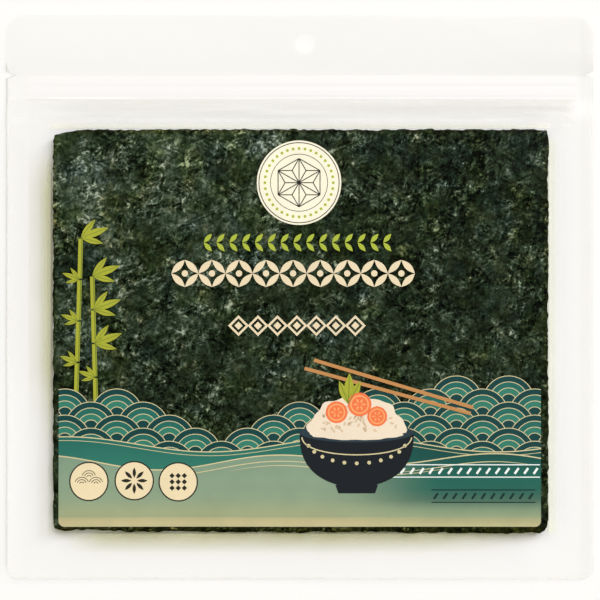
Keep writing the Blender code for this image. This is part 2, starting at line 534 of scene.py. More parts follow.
def warped(place, size, amount, offset=0):
    """The coordinates, pushed about by noise of the given size."""
    moved = vector(place, "ADD", (offset, -offset, 0))
    warp = node(place.tree, "TexNoise", {"Vector": moved, "Scale": 1 / size, "Detail": 3})
    shift = vector(Value(warp.outputs["Color"]), "SUBTRACT", (0.5, 0.5, 0.5))
    return vector(shift, "MULTIPLY_ADD", (amount, amount, 0), place)


def fibres(place, size, width, seed):
    """Short bent fibres: level lines of noise, broken up by another noise."""
    strands = noise(warped(place, 4, 5, seed), size, 1, 0.5, seed)
    broken = spread(noise(place, 1.7 * size, 2, 0.5, seed + 7), 0.47, 0.56)
    return spread(abs(strands - 0.5), width, 0.2 * width) * broken


def strokes(place, degrees, length, width, seed):
    """Noise drawn out into short strokes that run at the given angle."""
    turn = node(place.tree, "VectorRotate", {
        "Vector": place, "Angle": math.radians(-degrees)}, rotation_type="Z_AXIS")
    drawn = vector(Value(turn.outputs[0]), "MULTIPLY", (1 / length, 1 / width, 1))
    return noise(drawn, 1, 1, 0.5, seed)


def shreds_of(place, length, width, seed):
    """Strokes whose angle changes from patch to patch."""
    shreds = strokes(place, SHRED_ANGLE, length, width, seed)
    for degrees, patch in SHRED_PATCHES:
        other = strokes(place, degrees, length, width, seed + degrees)
        share = spread(noise(place, patch, 1, 0.5, seed + 2 * degrees), 0.5, 0.56)
        shreds = (other - shreds) * share + shreds
    return shreds


def weighed(*pairs):
    """The sum of each value's distance from a half, times its weight."""
    return total((value - 0.5) * weight for value, weight in pairs)


def fine_detail(place, bent, shreds, fine_shreds):
    """Grain, shreds, pale flecks as painted glints, dark pits and fibres, from below 0 to above it.
    """
    flake, flake_near = cells(bent, 2.4)
    # The pale flecks are painted glints.
    painted_glint, painted_glint_near = cells(warped(place, 1.1, 1.2, 40), 1.5)
    pit, pit_near = cells(warped(place, 1.6, 1.8, 90), 2.3)
    middling, grain = noise(place, 2.0, 2, 0.6, 23), noise(place, 0.9, 1, 0.6, 9)
    fine = weighed((flake, 0.14), (grain, 0.06), (middling, 0.28), (shreds, 0.84),
                   (fine_shreds, 0.60), (flake_near, -0.06))
    fine += spread(painted_glint_near, 0.42, 0.12) * spread(painted_glint, 0.62, 0.80) * 0.10
    fine -= spread(pit_near, 0.50, 0.15) * spread(pit, 0.60, 0.78) * 0.12
    return total([fine] + [fibres(place, size, width, seed) * strength
                           for size, width, seed, strength in FIBRES])


def nori_surface(place):
    """Pressed shreds of seaweed, paler at the upper left by a painted sheen, with patches of tint.
    """
    x, y = split(place)
    bent = warped(place, 2.6, 3.5)
    broad = noise(place, 30, 3, 0.6, 17)
    patches, clumps = noise(bent, 10, 3, 0.55, 3), noise(bent, 4.5, 3, 0.6, 5)
    shreds = shreds_of(warped(place, 3.0, 1.6, 70), 4.4, 1.15, 200)
    fine_shreds = shreds_of(warped(place, 2.0, 1.0, 75), 2.9, 0.85, 410)
    # Painted sheen: the tone grows paler and livelier towards the upper left.
    painted_sheen = spread(x, 18, -30) * spread(y, 2, 34, 0.4, 1.0)
    lively = spread(noise(place, 8, 2, 0.5, 61), 0.38, 0.62, 0.55, 1.25)
    tone = fine_detail(place, bent, shreds, fine_shreds) * lively + TONE_LEVEL
    tone += weighed((patches, painted_sheen * 0.18 + 0.46), (clumps, 0.52),
                    (broad, painted_sheen * 0.24 + 0.34))
    colour = ramp(tone + painted_sheen * 0.118, NORI_TONES)
    for size, seed, tint in TINTS:
        share = spread(noise(bent, size, 3, 0.55, seed), 0.50, 0.64, 0, 0.65)
        colour = mixed(share, colour, tint, "MULTIPLY")
    margin = outside_of(x, y, STACK_HALF_WIDTH, STACK_LOW, STACK_HIGH)
    colour = mixed(spread(margin, -3.2, -1.2, 0, EDGE_SHARE), colour, EDGE_TINT, "MULTIPLY")
    foot = spread(y - STACK_LOW / MM, 3.4, 2.2, 0, EDGE_SHARE)
    colour = mixed(foot, colour, LOW_EDGE_TINT, "MULTIPLY")
    height = fine_shreds * 0.6 + shreds + clumps * 1.5
    bump = node(place.tree, "Bump", {"Height": height, "Distance": BUMP_DEPTH,
                                               "Strength": 1})
    return plastic(colour, 0.42, 0.02, Normal=Value(bump.outputs[0]))


# ---------------- plastics and ink
FILM_TINT = (1.0, 0.999, 0.997)
FILM_GLOSS, FILM_MIRROR = 0.65, 0.006  # mirror at a slant, and straight on
# Colours of the film's diffuse coats: dust with painted olive shade, painted light, painted grey
# shade and painted highlights.
DUST_AND_SHADE_COLOUR = (0.86, 0.86, 0.32)
PAINTED_LIGHT_COLOUR = (0.97, 1.0, 0.78)
PAINTED_SHADE_COLOUR = (0.56, 0.55, 0.45)
HIGHLIGHT_COLOUR = (1, 1, 0.97)
# Dust with painted olive shade, painted light and painted grey shade beside the stack, as (reach in
# millimetres, share of the film's colour)
DUST_AND_SHADE_BELOW = ((9.2, 0.13), (6, 0.03), (19, 0.02))
DUST_AND_SHADE_LEFT = ((6, 0.14), (13, 0.05))
DUST_AND_SHADE_ABOVE = ((3.5, 0.04),)
PAINTED_LIGHT_RIGHT = ((6, 0.20), (1.3, 0.14))
PAINTED_LIGHT_ABOVE = ((2.5, 0.12),)
PAINTED_SHADE_LEFT = ((2.4, 0.48),)
PAINTED_SHADE_BELOW = ((8.8, 0.17), (4.5, 0.07))
FOLD_HIGHLIGHT_SHARE, FAINT_SHADE_SHARE = 0.11, 0.008

# Zip colours: milky, which also paints highlights along the rails, and clearer; then painted shade
# for the groove and furrow, and a painted highlight.
ZIP_MILKY_AND_HIGHLIGHT, ZIP_CLEARER = (0.918, 0.905, 0.920), (0.900, 0.888, 0.905)
ZIP_GROOVE_SHADE, ZIP_HIGHLIGHT = (0.862, 0.852, 0.868), (0.985, 0.975, 0.955)
# Bead colours: painted shade and painted highlight, and the clear part.
BEAD_SHADE, BEAD_HIGHLIGHT = (0.66, 0.66, 0.64), (1.0, 1.0, 0.98)
BEAD_CLEAR = (0.995, 0.995, 0.992)
INK_SHADE = (0.72, 0.72, 0.72)
MOTTLE_SIZE = 12
TEAL_SIDE = (5, 62)  # where a blend's right colours take over, in millimetres


def beside(away, layers):
    """Tints just outside one of the stack's edges, each fading over its reach."""
    return (total(spread(away, reach, 0.4) * share for reach, share in layers)
            * spread(away, -0.4, 0.3))


def film_margins(x, y, above):
    """Beside the stack: dust from the sheets with painted olive shade in it, painted light at the
    right and top, and painted grey shade at the left and bottom.
    """
    half, below = STACK_HALF_WIDTH / MM, STACK_LOW / MM - y
    across = spread(abs(x), half + 1.5, half - 1)
    along = spread(below, 1.5, -1) * spread(above, -1, -7)
    at_left = along * spread(above, -7, -26) * spread(y, -64, -14, 0.12, 1.0)
    foot = spread(x, -104, -76) * spread(x, 104, 40)
    to_left, to_right = x * -1 - half, x - half
    # Dust from the sheets, with painted olive shade in it, below, left of and above the stack.
    dust_and_shade = total((beside(below, DUST_AND_SHADE_BELOW) * foot, beside(to_left, DUST_AND_SHADE_LEFT) * at_left,
                  beside(above, DUST_AND_SHADE_ABOVE) * across))
    # Painted light on the film just right of and above the stack.
    painted_light = beside(to_right, PAINTED_LIGHT_RIGHT) * along + beside(above, PAINTED_LIGHT_ABOVE) * across
    # The third value is painted grey shade just left of and below the stack.
    return dust_and_shade, painted_light, beside(to_left, PAINTED_SHADE_LEFT) * at_left + beside(below, PAINTED_SHADE_BELOW) * foot


def painted_film_shade(x, y, above, cloud, gap):
    """Painted shade: grey in the left of the pocket, the header, the gap under the zip and the rims,
    and a faint grey over the upper part and the right margin.
    """
    top, bottom, zip_top = TOP / MM, BOTTOM / MM, ZIP_TOP / MM
    pocket = outside_of(x - 1.2, y, SEAL_INNER, BOTTOM - 9 * MM, ZIP_BOTTOM)
    stack = outside_of(x, y, STACK_HALF_WIDTH, STACK_LOW, STACK_HIGH)
    off_stack = spread(stack, -1, 0.2)
    left = (spread(pocket, 0.5, -0.6) * cloud * off_stack * spread(x, 60, -105, 0, 0.038)
            * spread(y, -66, -20) * spread(above, -6, -28, 0.2, 1.0))
    corner = spread(x, 50, 120, 0, 0.013) * spread(y, zip_top + 5, top - 9, 0.9, 1.6)
    header = total((spread(y, top - 1, zip_top + 2, 0.002, 0.009),
                    spread(x, -70, 15, 0, 0.007), corner)) * spread(y, zip_top - 1, zip_top)
    # Faint painted shade over the upper part and the right margin.
    faint_shade = spread(y, -50, -20).or_more(spread(x, 100, 112, 0.25, 0.8)) * off_stack * FAINT_SHADE_SHARE
    # Painted shade in the gap under the zip.
    shade_under_zip = gap * spread(above, 4.6, 9.6, 0.012, 0.060) * spread(x, -20, 70, 1.0, 1.5)
    # Painted shade lines along the left, right and lower rims.
    left_rim = spread(x, -115, -118, 0, 0.013) * spread(y, -50, -10) * spread(above, 4, -8)
    right_rim = spread(x, 117.5, 120.5, 0, 0.016)
    low_rim = spread(y, bottom + 2.0, bottom + 0.6, 0, 0.02)
    return total((left, header, faint_shade, shade_under_zip, left_rim, right_rim, low_rim))


def painted_highlights(place, x, y, above, gap):
    """Painted highlights: bright welds, glinting streaks in the gap under the zip, and a bright fold
    line above the stack.
    """
    bottom, notch = BOTTOM / MM, NOTCH_Y / MM
    edge = outside_of(x, y, HALF_WIDTH, BOTTOM, TOP + 20 * MM)
    weld_highlight = (spread(edge, -2.2, -1.5) * spread(edge, -0.7, -1.1) * spread(y, notch, notch - 3)
            * spread(x, -60, 60, 0.09, 0.05) * spread(y, bottom + 2, bottom + 12))
    glint_streak = spread(drawn_out(place, (0.025, 0.35), 1.4, 1), 0.52, 0.7, 0, 0.12) * gap
    fold_highlight = spread(above, 0.9, 2.6) * spread(above, 4.6, 3.0) * spread(abs(x), 105, 85) * FOLD_HIGHLIGHT_SHARE
    return weld_highlight.or_more(glint_streak).or_more(fold_highlight)


def film_surface(place):
    """A slightly tinted clear film with diffuse coats of dust, painted shade, painted light and
    painted highlights, whose mirror grows at a slant.
    """
    x, y = split(place)
    above, zip_low = y - STACK_HIGH / MM, ZIP_LOW / MM
    cloud = spread(noise(place, 14, 3), 0.3, 0.7, 0.87, 1.13)
    gap = (spread(above, -0.5, 1) * spread(y, zip_low + 0.3, zip_low - 0.7)
           * spread(x, 119, 113) * spread(x, -117, -84, 0.3, 1.0))
    dust_and_shade, painted_light, painted_shade = film_margins(x, y, above)
    body = plain(place.tree, "Transparent", FILM_TINT)
    # Diffuse coats over the clear film: dust with painted shade, painted light, painted shade and
    # painted highlights.
    for share, colour in ((dust_and_shade * cloud, DUST_AND_SHADE_COLOUR), (painted_light, PAINTED_LIGHT_COLOUR),
                          (painted_shade + painted_film_shade(x, y, above, cloud, gap), PAINTED_SHADE_COLOUR),
                          (painted_highlights(place, x, y, above, gap), HIGHLIGHT_COLOUR)):
        body = coated(body, share, plain(place.tree, "Diffuse", colour))
    slant = Value(node(place.tree, "LayerWeight", {"Blend": 0.5}).outputs["Facing"])
    mirror = slant.maths("POWER", 5) * FILM_GLOSS + FILM_MIRROR
    roughness = spread(noise(place, 7, 2), 0.3, 0.7, 0.08, 0.2)
    return coated(body, mirror, plain(place.tree, "Glossy", (1, 1, 1), Roughness=roughness))


def zip_surface(place):
    """Milk-white plastic, clearer and a little greyer between the rails, with painted highlights
    along the rails and near the lower edge, and painted shade in the groove and furrow.
    """
    x, y = split(place)
    depth = ZIP_TOP / MM - y

    def line(at, wide, thin):
        return spread(abs(depth - at / MM), wide, thin)

    # Milky streaks, milkier over the band's upper part, and painted highlights along the first two
    # rails.
    milky_and_highlight = spread(drawn_out(place, (0.05, 1), 2.6, 3), 0.3, 0.7, 0, 0.3)
    for below, width, _ in ZIP_RIDGES[:2]:
        milky_and_highlight = milky_and_highlight.or_more(line(below, width / 2 / MM, width / 5 / MM))
    milky_and_highlight = milky_and_highlight.or_more(spread(depth, 3.6, 2.4, 0, 0.8))
    # Painted shade in the groove and the furrow.
    groove_shade = line(ZIP_GROOVE, 0.75, 0.2) * spread(x, -60, 10, 0.35, 1.0)
    furrow_shade = line(ZIP_FURROW, 1.0, 0.4) * spread(x, -60, 10, 0.15, 0.6)
    ends = spread(x, -66, -76, 0.35, 1.0).or_more(spread(x, 60, 90, 0.2, 0.35))
    # A painted highlight line near the lower edge.
    gleam = line(ZIP_GLEAM, 0.5, 0.25) * ends * spread(x, -111, -103)
    colour = mixed(milky_and_highlight, ZIP_CLEARER, ZIP_MILKY_AND_HIGHLIGHT)
    colour = mixed(groove_shade.or_more(furrow_shade), colour, ZIP_GROOVE_SHADE)
    return plastic(mixed(gleam, colour, ZIP_HIGHLIGHT), 0.4, 0.2)


def bead_surface(place):
    """The weld's edge: a grey line of painted shade at the left and the bottom, a bright one of
    painted highlight at the right, towards the lamps.
    """
    x, y = split(place)
    bottom, bead_top = BOTTOM / MM, BEAD_TOP / MM
    at_right = spread(x, 40, 120)
    side = at_right * -0.23 + 0.27
    share = spread(y, bottom + 8, bottom + 3) * (0.07 - side) + side
    share *= spread(y, bead_top, bead_top - 5) * spread(abs(y - NOTCH_Y / MM), 1.0, 2.2, 0.35, 1.0)
    # Painted shade at the left grading to a painted highlight at the right.
    solid = plastic(mixed(at_right, BEAD_SHADE, BEAD_HIGHLIGHT), 0.3, 0.3)
    return coated(plain(place.tree, "Transparent", BEAD_CLEAR), share, solid)


def ink_surface(place, ink):
    """Printed ink with a slight mottle, of one colour or blending through tones upwards."""
    if isinstance(ink[0], tuple):
        x, y = split(place)
        low, high = ink[0][0], ink[-1][0]
        up = (y - low) * (1 / (high - low))
        left, right = [ramp(up, [((tone[0] - low) / (high - low), srgb(*tone[side]))
                                 for tone in ink]) for side in (1, 2)]
        colour = mixed(spread(x, *TEAL_SIDE), left, right)
    else:
        colour = srgb(*ink)
    dark = spread(noise(place, MOTTLE_SIZE, 5, 0.65), 0.35, 0.7, 0, 0.22)
    return plastic(mixed(dark, colour, INK_SHADE, "MULTIPLY"), 0.5, 0.25)


# ---------------- films and zip
FILM_STEP, GAP_STEP, ZIP_STEP, BEAD_STEP = 1.6 * MM, 0.5 * MM, 0.3 * MM, 4 * MM


def make_film():
    """Both films as one closed body, cut to the pouch's outline and hang hole."""
    reach = 2 * MM
    x, y = np.meshgrid(
        lines(-HALF_WIDTH - reach, (HALF_WIDTH + reach, FILM_STEP)),
        lines(BOTTOM - reach, (STACK_HIGH, FILM_STEP), (ZIP_BOTTOM - MM, GAP_STEP),
              (ZIP_TOP + MM, ZIP_STEP), (TOP + reach, FILM_STEP)))
    mesh = closed_sheet("pouch_film", x, y, film_front(x, y) + creases(x, y), film_back(x, y))
    hole = arc(HOLE_CENTRE, HOLE_RADIUS, 0, 360, 40)[:-1]
    mesh = trimmed(mesh, [pouch_outline(), hole])
    mesh.set_sharp_from_angle(angle=SHARP_ANGLE)
    film = new_piece("pouch_film", mesh, new_material("clear_film", film_surface))
    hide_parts("pouch")


def make_zip():
    """One closed strip between the films."""
    x, y = np.meshgrid(lines(ZIP_LEFT, (ZIP_RIGHT, 4 * MM)), lines(ZIP_LOW, (ZIP_TOP, MM)))
    under = rim_height(x, y)
    mesh = closed_sheet("zip_strip", x, y, under + ZIP_STRIP, under)
    new_piece("zip_strip", mesh, new_material("zip_plastic", zip_surface))


def inset(loop, distance):
    """The loop moved inwards along its normals; the loop runs anticlockwise."""
    points = np.array(loop)
    ahead = np.roll(points, -1, 0) - np.roll(points, 1, 0)
    ahead /= np.linalg.norm(ahead, axis=1, keepdims=True)
    return points + np.stack([-ahead[:, 1], ahead[:, 0]], -1) * distance


def make_edge():
    """The bead along the sides and the bottom, from one upper side round to the other."""
    loop, outline = [], pouch_outline()
    for start, end in zip(outline, outline[1:] + outline[:1]):
        count = max(1, round(math.dist(start, end) / BEAD_STEP))
        loop += np.linspace(start, end, count, endpoint=False).tolist()
    first = max(index for index, (_, y) in enumerate(loop) if y > BEAD_TOP) + 1
    length = sum(y <= BEAD_TOP for _, y in loop)
    rings = []
    for inward, up in BEAD_SECTION:
        points = np.roll(inset(loop, inward), -first, 0)[:length]
        rings.append(np.column_stack([points, rim_height(*points.T) + up]))
    mesh = smooth_mesh("edge_bead", np.concatenate(rings), grid_faces(len(rings), length))
    new_piece("edge_bead", mesh, new_material("bead_plastic", bead_surface))


# ---------------- nori sheets
SHEET_LOW = np.array([-103.6, -98.4]) * MM
SHEET_HIGH = np.array([104.4, 70.5]) * MM
SHEET_SHIFT = ((-0.45, -0.6), (0.25, 0.0))  # from and to, in millimetres
SHEET_CORNERS = (1.0 * MM, 3.4 * MM, 0.7 * MM, 0.9 * MM)  # anticlockwise from lower left
SHEET_RAG = 0.85 * MM
RAG_SIZES = ((0.45, 9), (0.35, 3.5), (0.5, 1.8))  # (share, size in millimetres)
RAG_FADE = 3 * MM  # along an edge, from its corners
SLANT_LENGTH = 11 * MM  # the cut corner, along the upper edge
SLANT_DROP = 2.0 * MM
LOWER_EDGE_SLANT, LOWER_EDGE_RISE = 0.45 * MM, 0.7 * MM
RISE_START, RISE_LENGTH = -76 * MM, 12 * MM
TOP_GRID, LOWER_GRID = (241, 197), (91, 75)
WAVE, WAVE_SIZE = 0.06 * MM, 11 * MM
RELIEF, RELIEF_SIZE, FINE_RELIEF_SIZE = 0.08 * MM, 3.6 * MM, 1.9 * MM


def ragged_edge(along, seed):
    fade = smooth((along - along.min()) / RAG_FADE) * smooth((along.max() - along) / RAG_FADE)
    rough = sum(share * lattice_noise(along, 0, size * MM, seed + step)
                for step, (share, size) in enumerate(RAG_SIZES))
    return SHEET_RAG * rough * fade


def lower_edge(along):
    """How far each sheet's lower edge stands above its straight line."""
    rise = LOWER_EDGE_RISE * smooth((RISE_START - along) / RISE_LENGTH)
    return LOWER_EDGE_SLANT * -along / STACK_HALF_WIDTH + rise


def corner_inset(distance, radius):
    reach = np.clip(radius - distance, 0, radius)
    return radius - np.sqrt(radius ** 2 - reach ** 2)


def sheet_grid(low, high, columns, rows, seed):
    """A grid inside a ragged outline whose upper left corner is cut off at a slant."""
    lower_left, lower_right, upper_right, upper_left = SHEET_CORNERS

    def run(start, end, first, last, count):
        from_corner = 1 - math.sqrt(0.5)
        along = np.linspace(start + first * from_corner, end - last * from_corner, count)
        return along, corner_inset(along - start, first) + corner_inset(end - along, last)

    bottom_x, bottom_in = run(low[0], high[0], lower_left, lower_right, columns)
    top_x, top_in = run(low[0], high[0], upper_left, upper_right, columns)
    rise = lower_edge(bottom_x)
    left_y, left_in = run(low[1] + rise[0], high[1] - SLANT_DROP, lower_left, upper_left, rows)
    right_y, right_in = run(low[1] + rise[-1], high[1], lower_right, upper_right, rows)
    bottom = np.stack([bottom_x, low[1] + bottom_in + rise + ragged_edge(bottom_x, seed)])
    slanted = SLANT_DROP * np.clip(1 - (top_x - low[0]) / SLANT_LENGTH, 0, 1)
    top = np.stack([top_x, high[1] - top_in - slanted + ragged_edge(top_x, seed + 10)])
    left = np.stack([low[0] + left_in + ragged_edge(left_y, seed + 20), left_y])
    right = np.stack([high[0] - right_in + ragged_edge(right_y, seed + 30), right_y])
    bottom, top, left, right = bottom[:, None], top[:, None], left[..., None], right[..., None]
    u, v = np.linspace(0, 1, columns), np.linspace(0, 1, rows)[:, None]
    sides = (1 - v) * bottom + v * top + (1 - u) * left + u * right
    corners = ((1 - u) * (1 - v) * bottom[..., :1] + u * (1 - v) * bottom[..., -1:]
               + (1 - u) * v * top[..., :1] + u * v * top[..., -1:])
    return sides - corners


def make_sheets():
    """The stack, each sheet but the top one a little out of line and less detailed."""
    material = new_material("roasted_nori", nori_surface)
    random = np.random.default_rng(5)
    for index in range(SHEETS):
        on_top = index == SHEETS - 1
        shift = 0 if on_top else random.uniform(*SHEET_SHIFT) * MM
        grid = TOP_GRID if on_top else LOWER_GRID
        x, y = sheet_grid(SHEET_LOW + shift, SHEET_HIGH + shift, *grid, 100 + 40 * index)
        level = FIRST_SHEET + (TOP_SHEET - FIRST_SHEET) * index / (SHEETS - 1)
        level = level + ripple(x, y) * index / (SHEETS - 1)
        level = level + WAVE * lattice_noise(x, y, WAVE_SIZE, 300 + index)
        relief = RELIEF * lattice_noise(x, y, RELIEF_SIZE, 400 + index)
        if on_top:
            relief += RELIEF * lattice_noise(x, y, FINE_RELIEF_SIZE, 500 + index)
        name = "nori_sheet_%02d" % (index + 1)
        mesh = closed_sheet(name, x, y, level + relief + SHEET_THICKNESS / 2,
                            level + relief / 2 - SHEET_THICKNESS / 2)
        new_piece(name, mesh, material)


# ---------------- the print
# Its layout is in millimetres, its colours are 0 to 255, and its layers are in INK_STEPs.
INK_STEP = 0.03 * MM  # one layer of ink above the next
INK_DEPTH = 0.5 * MM  # the lowest layer, below the film's own surface
SEA_GREEN, TEAL, SAND = (50, 124, 106), (32, 104, 94), (194, 184, 141)
# Blends of the lower fields as (height, colour at the left, colour at the right)
GREEN_TONES = (
    (-75, SEA_GREEN, (12, 80, 74)),
    (-60, TEAL, (8, 70, 66)),
)
SAGE_TONES = (
    (-92.7, (160, 168, 130), (150, 164, 130)),
    (-89.4, (156, 167, 132), (128, 150, 122)),
    (-85.5, (144, 162, 134), (72, 108, 92)),
    (-81.0, (138, 160, 134), (34, 98, 85)),
    (-76.0, (138, 160, 135), (26, 98, 86)),
    (-66.0, (124, 152, 130), (10, 76, 70)),
)
SAND_TONES = (
    (-96.7, (194, 186, 144), (192, 187, 142)),
    (-94.6, SAND, (176, 174, 132)),
    (-92.7, (178, 176, 134), (160, 166, 128)),
)
INK_COLOURS = {
    "deep": (2, 62, 62),
    "teal": TEAL,
    "green": GREEN_TONES,
    "scale_green": SEA_GREEN,
    "contour": (214, 202, 158),
    "sage": SAGE_TONES,
    "sand": SAND_TONES,
    "navy": (12, 20, 28),
    "navy_rim": (38, 56, 66),
    "rice": (240, 224, 202),
    "rice_shade": (220, 196, 166),
    "orange": (243, 122, 72),
    "orange_light": (250, 168, 110),
    "wood": (196, 140, 84),
    "leaf": (168, 172, 52),
    "leaf_dark": (112, 128, 44),
    "label": (172, 186, 62),
    "cream": (236, 219, 186),
    "disc": (250, 244, 222),
    "peach": (238, 220, 182),
    "dark": (34, 36, 26),
    "teal_line": (6, 46, 44),
    "white": (240, 246, 244),
}

DRAPE_GRID = 6
FIELD_HALF_WIDTH = 101.6
FIELD_BOTTOM = -96.7
FIELD_CORNER = 2.5
# The fields' upper edges as waves of (level, height, length, phase)
SEA_EDGE = ((-39, 8.5, 190, -0.75), (0, 3, 83, 1.0))
GREEN_EDGE = ((-62, 3.2, 121, 0.4),)
SAGE_EDGE = ((-69, 2.6, 96, 2.3), (0, 1.2, 210, 0.2))
SAND_EDGE = ((-92.7, 0, 1, 0),)
FIELDS = (("green", GREEN_EDGE, 6), ("sage", SAGE_EDGE, 7), ("sand", SAND_EDGE, 8))
# Lines along those edges as (edge, lift, start, end, width, layer, whether it tapers)
CONTOURS = (
    (GREEN_EDGE, 0, -FIELD_HALF_WIDTH, FIELD_HALF_WIDTH, 0.45, 6.6, False),
    (GREEN_EDGE, -1.6, -FIELD_HALF_WIDTH, FIELD_HALF_WIDTH, 0.25, 6.6, False),
    (SAGE_EDGE, 0, -FIELD_HALF_WIDTH, FIELD_HALF_WIDTH, 0.5, 8, False),
    (SAGE_EDGE, -2.6, -60, 20, 0.4, 8, True),
    (SAGE_EDGE, -4.4, -30, 64, 0.4, 8, True),
    (SAGE_EDGE, -3.4, 40, 98, 0.4, 8, True),
)

SCALE_RADIUS = 11
SCALE_LINE = 0.32
SCALE_ROWS = 9
SCALE_TOP = -22
SCALE_SWEEP = (-20, 220, 28)  # start and sweep in degrees, and steps
# Each band of a scale as (outer share of its radius, inner share, ink)
SCALE_BANDS = ((1.0, 0.77, "deep"), (0.77, 0.54, "teal"), (0.54, 0.31, "scale_green"),
               (0.31, 0, "deep"))

BOWL_X, BOWL_RIM, BOWL_HALF, BOWL_DEPTH = 24, -57, 24, 23
RIM_HALF_HEIGHT = 4.2
FOOT = ((-9, 1), (-7.74, -2.6), (7.74, -2.6), (9, 1))   # from the bowl's lowest point
HEAP_HALF, HEAP_RISE, HEAP_SINK = 20.5, 15.5, 3.2
CHOPSTICKS = (((2, -30), (72, -49)), ((6, -26.5), (73, -46.5)))
SLICES = ((15.5, -48.5, 4.6), (25.2, -45.2, 5.0), (32.6, -50.2, 4.2))  # (x, y, radius)
GRAINS = 70
GARNISH = (20.5, -45)

# Each cane as (x, foot, top, lean, side of the leaves at each joint)
CANES = ((-93.5, -45, 25, 2.2, (-1, -1, -1, 1)), (-86.5, -48, 9, -1.6, (-1, 1, 1, 1)))
CANE_LEAVES = (20, 52, -14)  # degrees above level
EMBLEM = (-0.3, 48.2)
BADGES = ((-88.8, -77.6), (-69.7, -77.3), (-51.2, -77.8))
QUARTERS = (0, 90, 180, 270)
# Rows as (middle or first place, height, distance from one to the next)
GARLAND, CHAIN, LOZENGES = (-40.4, 23, 5.4), (-2.8, 10, 11.4), (-1.2, -12, 8.2)
# Each band of dashes as (ink, start, number, height)
DASHES = (("white", 34.5, 17, -73.2), ("teal_line", 56.5, 11, -83.8))
DASH_PITCH = 4


class Ink:
    """Flat shapes of one colour, gathered into one piece that follows the front film."""

    def __init__(self):
        self.points, self.faces, self.layers = [], [], []

    def add(self, points, faces, layer):
        """Adds faces over points, which alone are in metres."""
        first = len(self.points)
        self.points += [tuple(point) for point in points]
        self.layers += [layer] * len(points)
        self.faces += [[first + index for index in face] for face in faces]

    def shape(self, layer, *loops):
        loops = [[(x * MM, y * MM) for x, y in loop] for loop in loops]
        points = np.array([point for loop in loops for point in loop])
        wide = np.ptp(points, axis=0).max() > DRAPE_GRID * MM
        bm = filled(loops, DRAPE_GRID * MM if wide else None)
        bm.verts.index_update()
        self.add([vert.co.xy for vert in bm.verts],
                 [[vert.index for vert in face.verts] for face in bm.faces], layer)
        bm.free()

    def ring(self, centre, inner, outer, layer, start=0, sweep=360, steps=40):
        """A ring, a disc where inner is 0, or a stretch of either."""
        bands = max(1, math.ceil((outer - inner) / DRAPE_GRID))
        points = [point for radius in np.linspace(max(inner, 0.001), outer, bands + 1)
                  for point in arc(centre, radius, start, sweep, steps)]
        self.add(np.array(points) * MM, grid_faces(bands + 1, steps + 1), layer)

    def stroke(self, path, width, layer, taper=False):
        """A line along a path, with blunt ends or tapering to both."""
        path = np.array(path)
        ahead = np.gradient(path, axis=0)
        ahead /= np.linalg.norm(ahead, axis=1, keepdims=True)
        aside = np.stack([-ahead[:, 1], ahead[:, 0]], -1)
        share = np.linspace(0, 1, len(path))
        half = width / 2 * (np.sin(np.pi * share) ** 0.6 * 0.96 + 0.04 if taper else share ** 0)
        aside *= half[:, None]
        self.add(np.concatenate([path - aside, path + aside]) * MM, grid_faces(2, len(path)), layer)

    def build(self, name, material):
        points = np.array(self.points)
        x, y = points[:, 0], points[:, 1]
        z = film_front(x, y) - INK_DEPTH + np.array(self.layers) * INK_STEP
        bm = bmesh.new()
        verts = [bm.verts.new(place) for place in zip(x, y, z)]
        for face in self.faces:
            bm.faces.new([verts[index] for index in face])
        for side in (-1, 1):
            cut(bm, FIELD_HALF_WIDTH * MM, (side, 0, 0), clear_outer=True)
        face_up(bm)
        mesh = finished(bm, name)
        mesh.shade_smooth()
        new_piece(name, mesh, material)


def height_at(x, edge):
    return sum(level + height * np.sin(2 * np.pi * x / length + phase)
               for level, height, length, phase in edge)


def field_loop(edge):
    """A field from the print's rounded lower corners up to a wavy edge."""
    x = np.linspace(FIELD_HALF_WIDTH, -FIELD_HALF_WIDTH, 90)
    corner_x, corner_y = FIELD_HALF_WIDTH - FIELD_CORNER, FIELD_BOTTOM + FIELD_CORNER
    left = arc((-corner_x, corner_y), FIELD_CORNER, 180, 90, 6)
    right = arc((corner_x, corner_y), FIELD_CORNER, 270, 90, 6)
    return left + right + list(zip(x, height_at(x, edge)))


def lens(start, end, bulge, steps=7):
    """A leaf shape between two points. bulge is its half width over its length."""
    along = np.subtract(end, start)
    share = np.linspace(0, 1, steps)[:, None]
    middle = start + along * share
    bow = np.array([-along[1], along[0]]) * (np.sin(np.pi * share) * bulge)
    return [*(middle + bow), *(middle - bow)[-2:0:-1]]


def petal(centre, inner, outer, degrees, bulge, steps=7):
    return lens(turned(centre, inner, degrees), turned(centre, outer, degrees), bulge, steps)


def lozenge(centre, half):
    return [turned(centre, half, turn) for turn in QUARTERS]


def draw_scales(inks):
    """Rows of overlapping scales, each a set of rings inside one another."""
    columns = math.ceil(FIELD_HALF_WIDTH / SCALE_RADIUS / 2) + 1
    for row in range(SCALE_ROWS):
        y, layer = SCALE_TOP - SCALE_RADIUS * (1 + row / 2), 3 + 0.3 * row
        for column in range(-columns, columns + 1):
            x = (2 * column + row % 2) * SCALE_RADIUS
            if y + SCALE_RADIUS > height_at(x, SEA_EDGE):
                continue
            for outer, inner, ink in SCALE_BANDS:
                edge = outer * SCALE_RADIUS - SCALE_LINE
                inks[ink].ring((x, y), inner * SCALE_RADIUS, edge, layer, *SCALE_SWEEP)
                inks["contour"].ring((x, y), edge, edge + SCALE_LINE, layer, *SCALE_SWEEP)


def draw_fields(inks):
    for ink, edge, layer in FIELDS:
        inks[ink].shape(layer, field_loop(edge))
    for edge, lift, start, end, width, layer, taper in CONTOURS:
        x = np.linspace(start, end, 70)
        path = list(zip(x, height_at(x, edge) + lift))
        inks["contour"].stroke(path, width, layer, taper)


